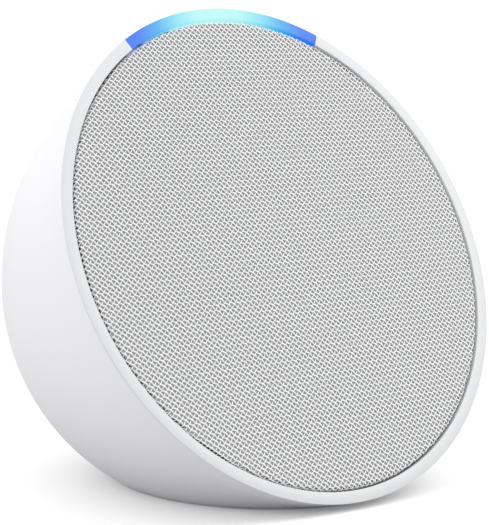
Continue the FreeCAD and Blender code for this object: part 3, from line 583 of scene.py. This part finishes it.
    # the pressed thread's oval section
    ring = add(tree, "GeometryNodeCurvePrimitiveCircle", {"Resolution": THREAD_SIDES,
                                                            "Radius": 0.5}).outputs[0]
    oval = add(tree, "ShaderNodeCombineXYZ", {"X": given["Thread Thickness"],
                                              "Y": given["Thread Width"], "Z": 1.0}).outputs[0]
    turns = add(tree, "GeometryNodeSplineParameter").outputs["Factor"]
    ring = add(tree, "GeometryNodeStoreNamedAttribute", {"Geometry": ring, "Name": "around",
                                                         "Value": turns}).outputs[0]
    ring = add(tree, "GeometryNodeTransform", {"Geometry": ring, "Scale": oval,
                                               "Rotation": (0, 0, math.pi)}).outputs[0]
    solid = add(tree, "GeometryNodeCurveToMesh", {"Curve": lines, "Profile Curve": ring,
                                                  "Fill Caps": True}).outputs[0]
    solid = add(tree, "GeometryNodeSetShadeSmooth", {"Geometry": solid}).outputs[0]
    solid = add(tree, "GeometryNodeTransform", {"Geometry": solid, "Translation": DISC_CENTRE,
                                                "Rotation": DISC.to_euler()}).outputs[0]
    solid = add(tree, "GeometryNodeRealizeInstances", {0: solid}).outputs[0]
    solid = add(tree, "GeometryNodeSetMaterial", {0: solid, "Material": given["Material"]}).outputs[0]
    add(tree, "NodeGroupOutput", {0: solid})
    return tree, names


def grown(name, tree, names, values, mat):
    """Run a node tree once and keep its result as a plain mesh."""
    seed = bpy.data.objects.new(name + "_seed", bpy.data.meshes.new(name + "_seed"))
    bpy.context.scene.collection.objects.link(seed)
    modifier = seed.modifiers.new("threads", "NODES")
    modifier.node_group = tree
    for key, value in values.items():
        modifier[names[key]] = value
    modifier[names["Material"]] = mat
    bpy.context.view_layer.update()
    depsgraph = bpy.context.evaluated_depsgraph_get()
    mesh = bpy.data.meshes.new_from_object(seed.evaluated_get(depsgraph))
    seed.modifiers.clear()
    bpy.data.objects.remove(seed)
    mesh.name = name
    piece = bpy.data.objects.new(name, mesh)
    bpy.context.scene.collection.objects.link(piece)
    return piece


# ---- operators: one for each piece or group of like pieces ------------------------------
class SPEAKER_OT_shell(bpy.types.Operator):
    """Finish the moulded shell and the base plate under it"""
    bl_idname = "speaker.shell"
    bl_label = "Shell and base"

    def execute(self, context):
        settings = context.scene.speaker_shell
        finish = spark_textured_polycarbonate("white_polycarbonate_shell", settings.colour, "E3E3E6")
        for node in ("rear_shell", "base_plate"):
            frame["nodes"][node].data.materials[0] = finish
        return {"FINISHED"}


class SPEAKER_OT_ring(bpy.types.Operator):
    """Make the thin front ring, with its gap for the light bar"""
    bl_idname = "speaker.ring"
    bl_label = "Front ring"

    def execute(self, context):
        s = context.scene.speaker_ring
        # both ring colours are greyer than the shell's white: painted shade for the less light on the
        # disc's front
        finish = moulded_plastic("satin_white_ring_painted_shade", s.colour, "D1D2D3", 0.36)
        outline = rounded([(s.inner, 0, SEAM), (DISC_RADIUS, 0, RIM),
                           (DISC_RADIUS, -s.thickness), (s.body, -s.thickness),
                           (s.body, -s.ledge_back), (s.ledge, -s.ledge_back),
                           (s.ledge, -s.ledge_front), (s.inner, -s.ledge_front)], HIDDEN_EDGE)
        top = math.pi / 2
        bm = lathe(outline, RING_SEGMENTS, top + s.light_angle, top - s.light_angle + math.tau)
        low = rounded([(s.ledge, -s.ledge_front), (s.bridge, -s.ledge_front),
                       (s.bridge, -s.ledge_back), (s.ledge, -s.ledge_back)], HIDDEN_EDGE)
        reach = s.light_angle + BRIDGE_LAP
        bridge = lathe(low, BRIDGE_SEGMENTS, top - reach, top + reach)
        mesh = bpy.data.meshes.new("bridge")
        bridge.to_mesh(mesh)
        bridge.free()
        bm.from_mesh(mesh)
        finish_piece(mesh_object("ring", bm, finish, 50), "casing", "ring_plastic", "front_bezel")
        return {"FINISHED"}


class SPEAKER_OT_light_bar(bpy.types.Operator):
    """Make the glowing light bar at the top of the ring"""
    bl_idname = "speaker.light_bar"
    bl_label = "Light bar"

    def execute(self, context):
        s = context.scene.speaker_ring
        inner, outer = s.inner + GUIDE_GAP, DISC_RADIUS - GUIDE_GAP
        outline = rounded([(inner, 0, GUIDE_FRONT_EDGE), (outer, 0, GUIDE_FRONT_EDGE),
                           (outer, -s.thickness), (s.light_body, -s.thickness),
                           (s.light_body, -s.light_depth), (inner, -s.light_depth)], GUIDE_BACK_EDGE)
        half = s.light_angle - GUIDE_END_GAP
        bm = lathe(outline, GUIDE_SEGMENTS, math.pi / 2 - half, math.pi / 2 + half)
        piece = mesh_object("light_guide", bm, lit_light_guide(context.scene.speaker_light), 50)
        finish_piece(piece, "casing", "light_diffuser", "light_bar")
        return {"FINISHED"}


class SPEAKER_OT_grille(bpy.types.Operator):
    """Make the fabric front: a stretched grey sheet, whose grey is partly painted shade, and the open
    weave of threads over it
    """
    bl_idname = "speaker.grille"
    bl_label = "Fabric front"

    def execute(self, context):
        s = context.scene.speaker_weave
        weave, names = weave_tree(s)
        yarn = polyester_thread(s)
        reach = (FABRIC_RADIUS + s.skirt) / s.pitch
        half = int(reach) - 1
        each = math.ceil((2 * half + 1) / s.bands)
        for family, sign in (("warp", 1.0), ("weft", -1.0)):
            for band in range(s.bands):
                first = -half + band * each
                count = min(each, half - first + 1)
                piece = grown(f"{family}_threads_{band + 1}", weave, names,
                              {"Thread Angle": sign * s.angle, "Over Or Under": sign,
                               "Thread Width": s.width * (1 - 0.2 * sign),
                               "First Offset": first * s.pitch, "Threads": count}, yarn)
                finish_piece(piece, "casing", "fabric")
        # a grey sheet behind the threads, whose colour is partly painted shade for the openings
        depth = 2 * s.crimp + s.thickness
        outer, inner = FABRIC_RADIUS - depth, FABRIC_RADIUS - depth - CLOTH_THICKNESS
        under = -depth - CLOTH_THICKNESS
        corners = [(0, -depth, 0), (outer, -depth, s.edge), (outer, -CLOTH_HEM, 0),
                   (inner, -CLOTH_HEM, 0), (inner, under, s.edge), (0, under, 0)]
        solid = lathe(rounded(corners, 0, 6), CLOTH_SEGMENTS)
        cloth = mesh_object("grille_cloth", solid, grey_backing_painted_shade(s), 60)
        finish_piece(cloth, "casing", "fabric", "grille_fabric")
        return {"FINISHED"}


class SPEAKER_OT_buttons(bpy.types.Operator):
    """Finish the three top buttons and print a plain mark on each"""
    bl_idname = "speaker.buttons"
    bl_label = "Buttons"

    def execute(self, context):
        s = context.scene.speaker_shell
        finish = spark_textured_polycarbonate("white_polycarbonate_button", s.colour, "E3E3E6", 0.38)
        ink = moulded_plastic("grey_pad_print", s.mark, "84878A", 0.5)
        press = -PRESS_AXIS.normalized()
        back = press.cross(Vector((1, 0, 0))).normalized()
        for body, strokes in BUTTON_MARKS.items():
            frame["nodes"][body + "_button"].data.materials[0] = finish
            low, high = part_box(body + "_button")
            centre = (low + high) / 2
            bm = bmesh.new()
            for stroke in strokes:
                add_stroke(bm, stroke, centre, press, back, s)
            bmesh.ops.recalc_face_normals(bm, faces=bm.faces)
            finish_piece(mesh_object(body + "_mark", bm, ink, 30), body, "button_plastic")
        return {"FINISHED"}


# depths behind the disc and radii of the driver's soft rings, in mm
ROLL_MIDDLE, ROLL_FRONT, ROLL_BACK = 19.6, 7.1, 7.5
SPIDER_INNER, SPIDER_FRONT, SPIDER_BACK, RIDGE_WIDTH, RIDGE_HEIGHT = 9.72, 14.4, 14.75, 1.12, 0.225


def surround_depths(r):
    """Front and back depth of the rubber half-roll at a radius, in mm."""
    def bulge(half_width, height):
        return height * math.sqrt(max(0.0, 1 - ((r - ROLL_MIDDLE) / half_width) ** 2))

    return ROLL_FRONT - bulge(2.15, 2.05), ROLL_BACK - bulge(1.75, 1.75)


def spider_depths(r):
    """Front and back depth of the corrugated spider at a radius, in mm."""
    ridge = RIDGE_HEIGHT * (1 - math.cos(math.pi * (r - SPIDER_INNER) / RIDGE_WIDTH))
    return SPIDER_FRONT + ridge, SPIDER_BACK + ridge


# each soft ring in two, the part glued to the cone and the part held by the basket:
# name, body, CAD node, slot, depths, inner and outer radius in mm
SOFT_RINGS = (
    ("surround_edge", "driver_cone_assembly", "driver_surround", "rubber", surround_depths, 16.8, 18.1),
    ("surround_roll", "casing", "driver_surround", "rubber", surround_depths, 18.2, 24.5),
    ("spider_neck", "driver_cone_assembly", "driver_spider", "spider_cloth", spider_depths,
     SPIDER_INNER, 10.8),
    ("spider_rings", "casing", "driver_spider", "spider_cloth", spider_depths, 10.84, 17.56),
)


class SPEAKER_OT_soft_rings(bpy.types.Operator):
    """Make the driver's rubber surround and cloth spider, parted where the cone moves"""
    bl_idname = "speaker.soft_rings"
    bl_label = "Driver's soft rings"

    def execute(self, context):
        for name, body, node, slot, depths, inner, outer in SOFT_RINGS:
            steps = max(6, round((outer - inner) / 0.16))
            radii = [inner + (outer - inner) * k / steps for k in range(steps + 1)]
            outline = [(r * MM, -depths(r)[0] * MM) for r in radii]
            outline += [(r * MM, -depths(r)[1] * MM) for r in reversed(radii)]
            finish = frame["nodes"][node].data.materials[0]
            piece = mesh_object(name, lathe(outline, SOFT_RING_SEGMENTS), finish, 40)
            finish_piece(piece, body, slot, node)
        return {"FINISHED"}


def arc(cx, cy, radius, a0, a1, steps=12):
    """Points along an arc, between two angles in degrees."""
    return [(cx + radius * math.cos(math.radians(a0 + (a1 - a0) * k / steps)),
             cy + radius * math.sin(math.radians(a0 + (a1 - a0) * k / steps)))
            for k in range(steps + 1)]


# each mark's strokes: a line of (across, towards the front) points in mm, and its width
BUTTON_MARKS = {
    "volume_up": [([(-1.5, 0), (1.5, 0)], 0.34), ([(0, 0.19), (0, 1.5)], 0.34),
                  ([(0, -0.19), (0, -1.5)], 0.34)],
    "volume_down": [([(-1.5, 0), (1.5, 0)], 0.34)],
    "mic_off": [([(0, -0.1), (0, 1.0)], 0.95), (arc(0, -0.05, 0.95, 180, 360), 0.22),
                ([(0, -1.02), (0, -1.5)], 0.22), ([(-0.5, -1.6), (0.5, -1.6)], 0.22),
                ([(-1.35, 1.3), (1.35, -1.5)], 0.2)],
}


def add_stroke(bm, stroke, centre, press, back, settings):
    """A thin closed strip along a line, laid on the shell's curve at a button."""
    line, width = stroke
    points = [Vector(p) * MM for p in line]
    steps = []
    for one, two in zip(points, points[1:]):
        pieces = max(1, round((two - one).length / MARK_STEP))
        steps += [one.lerp(two, k / pieces) for k in range(pieces)]
    steps.append(points[-1])
    # round both ends, with a half circle of narrowing steps
    half = width * MM / 2
    ends = [(half * math.sin(math.radians(a)), half * math.cos(math.radians(a))) for a in (30, 60, 85)]
    first, last = (steps[0] - steps[1]).normalized(), (steps[-1] - steps[-2]).normalized()
    line = [(steps[0] + first * out, narrow) for out, narrow in reversed(ends)]
    line += [(here, half) for here in steps]
    line += [(steps[-1] + last * out, narrow) for out, narrow in ends]
    rails = []
    for i, (here, narrow) in enumerate(line):
        along = (line[min(i + 1, len(line) - 1)][0] - line[max(i - 1, 0)][0]).normalized()
        side = Vector((-along.y, along.x)) * narrow
        rails.append([on_shell(here + side, centre, press, back, settings, rise)
                      for rise in (settings.mark_height, MARK_ROOT)]
                     + [on_shell(here - side, centre, press, back, settings, rise)
                        for rise in (MARK_ROOT, settings.mark_height)])
    rings = [[bm.verts.new(p) for p in rail] for rail in rails]
    for one, two in zip(rings, rings[1:]):
        for k in range(4):
            bm.faces.new((one[k], one[(k + 1) % 4], two[(k + 1) % 4], two[k]))
    bm.faces.new(rings[0][::-1])
    bm.faces.new(rings[-1])


def on_shell(flat, centre, press, back, settings, rise):
    """The point of the shell's ellipsoid straight under a place on a button, moved out by rise."""
    start = centre + Vector((1, 0, 0)) * flat.x - back * flat.y
    middle = DISC_CENTRE - CONE_AXIS * settings.centre
    a, b = settings.radius, settings.depth

    def squeezed(v):
        along = v.dot(CONE_AXIS)
        return (v - CONE_AXIS * along) / a + CONE_AXIS * along / b

    p, d = squeezed(start - middle), squeezed(press)
    half_b, c = p.dot(d), p.dot(p) - 1
    reach = (-half_b + math.sqrt(half_b * half_b - d.dot(d) * c)) / d.dot(d)
    return start + press * (reach + rise)


class SPEAKER_OT_inner_parts(bpy.types.Operator):
    """Give every other CAD part the finish of its real material"""
    bl_idname = "speaker.inner_parts"
    bl_label = "Inner parts"

    def execute(self, context):
        finishes = {}
        for part in frame["record"]["subparts"]:
            slot = part["material_slot"]
            if slot not in SLOT_FINISHES:
                continue
            if slot not in finishes:
                maker, *numbers = SLOT_FINISHES[slot]
                finishes[slot] = maker(slot + "_finish", *numbers)
            frame["nodes"][part["node"]].data.materials[0] = finishes[slot]
        return {"FINISHED"}


# soft lights: name, place in metres, size in metres, power in watts
STUDIO_LIGHTS = (
    ("left_softbox", (-1.2, 0.3, 0.42), 0.9, 3.4),
    ("right_softbox", (0.32, -0.26, 0.36), 0.35, 0.76),
)


class SPEAKER_OT_stage(bpy.types.Operator):
    """Set the plain floor, the soft studio light and the camera"""
    bl_idname = "speaker.stage"
    bl_label = "Stage"

    def execute(self, context):
        s = context.scene.speaker_stage
        planes = (("floor", 0.0, s.floor, s.floor_glow, True),
                  ("floor_bounce", -BOUNCE_DROP, s.bounce, 0.0, False))
        for name, height, code, glow, seen in planes:
            mat, tree, shader = material("painted_" + name, code, FLOOR_ROUGHNESS, Specular_IOR_Level=0.1,
                                         Emission_Color=(1, 1, 1, 1), Emission_Strength=glow)
            grain(tree, shader, 6.0, 0.02)
            bpy.ops.mesh.primitive_plane_add(size=FLOOR_SIZE, location=(0, 0, height))
            floor = context.object
            floor.name = name
            floor.data.materials.append(mat)
            floor.visible_camera = seen
            floor.visible_diffuse = floor.visible_glossy = floor.visible_shadow = not seen

        world = bpy.data.worlds.new("studio")
        world.use_nodes = True
        context.scene.world = world
        sky = world.node_tree.nodes["Background"]
        sky.inputs["Color"].default_value = (1, 1, 1, 1)
        way = add(world.node_tree, "ShaderNodeTexCoord").outputs["Generated"]
        lean = add(world.node_tree, "ShaderNodeVectorMath", {0: way, 1: s.sky_lean},
                   operation="DOT_PRODUCT").outputs["Value"]
        level = add(world.node_tree, "ShaderNodeMath", {0: lean, 1: s.sky}, operation="ADD").outputs[0]
        world.node_tree.links.new(level, sky.inputs["Strength"])
        for name, spot, size, power in STUDIO_LIGHTS:
            light = bpy.data.lights.new(name, "AREA")
            light.shape, light.size, light.energy = "DISK", size, power
            lamp = bpy.data.objects.new(name, light)
            lamp.location = spot
            lamp.rotation_euler = (Vector(spot) - LAMP_TARGET).to_track_quat("Z", "Y").to_euler()
            context.scene.collection.objects.link(lamp)

        lens = bpy.data.cameras.new("camera")
        lens.lens, lens.sensor_width, lens.clip_start, lens.clip_end = s.lens, 36.0, 0.01, 100.0
        camera = bpy.data.objects.new("camera", lens)
        eye, target = DISC_CENTRE + Vector(s.eye), DISC_CENTRE + Vector(s.target)
        camera.matrix_world = Matrix.Translation(eye) @ (
            (eye - target).to_track_quat("Z", "Y").to_matrix().to_4x4())
        context.scene.collection.objects.link(camera)
        context.scene.camera = camera
        context.scene.view_settings.view_transform = "Standard"
        return {"FINISHED"}


class SPEAKER_PT_panel(bpy.types.Panel):
    """Lists the pieces that the speaker is made from"""
    bl_label = "Smart speaker"
    bl_space_type = "VIEW_3D"
    bl_region_type = "UI"
    bl_category = "Speaker"

    def draw(self, context):
        for group in GROUPS:
            settings = getattr(context.scene, group)
            box = self.layout.box()
            for key in settings.bl_rna.properties.keys():
                if key not in ("rna_type", "name"):
                    box.prop(settings, key)
        for operator in OPERATORS:
            self.layout.operator(operator.bl_idname)


GROUPS = {"speaker_ring": RingSettings, "speaker_light": LightSettings, "speaker_weave": WeaveSettings,
          "speaker_shell": ShellSettings, "speaker_stage": StageSettings}
OPERATORS = (SPEAKER_OT_stage, SPEAKER_OT_inner_parts, SPEAKER_OT_shell, SPEAKER_OT_ring,
             SPEAKER_OT_light_bar, SPEAKER_OT_grille, SPEAKER_OT_buttons, SPEAKER_OT_soft_rings)


def register():
    for cls in (*GROUPS.values(), *OPERATORS, SPEAKER_PT_panel):
        bpy.utils.register_class(cls)
    for name, cls in GROUPS.items():
        setattr(bpy.types.Scene, name, PointerProperty(type=cls))


def unregister():
    for name in GROUPS:
        delattr(bpy.types.Scene, name)
    for cls in (SPEAKER_PT_panel, *reversed(OPERATORS), *reversed(list(GROUPS.values()))):
        bpy.utils.unregister_class(cls)


def main():
    register()
    for operator in OPERATORS:
        group, name = operator.bl_idname.split(".")
        getattr(getattr(bpy.ops, group), name)()


if __name__ == "__main__":
    main()
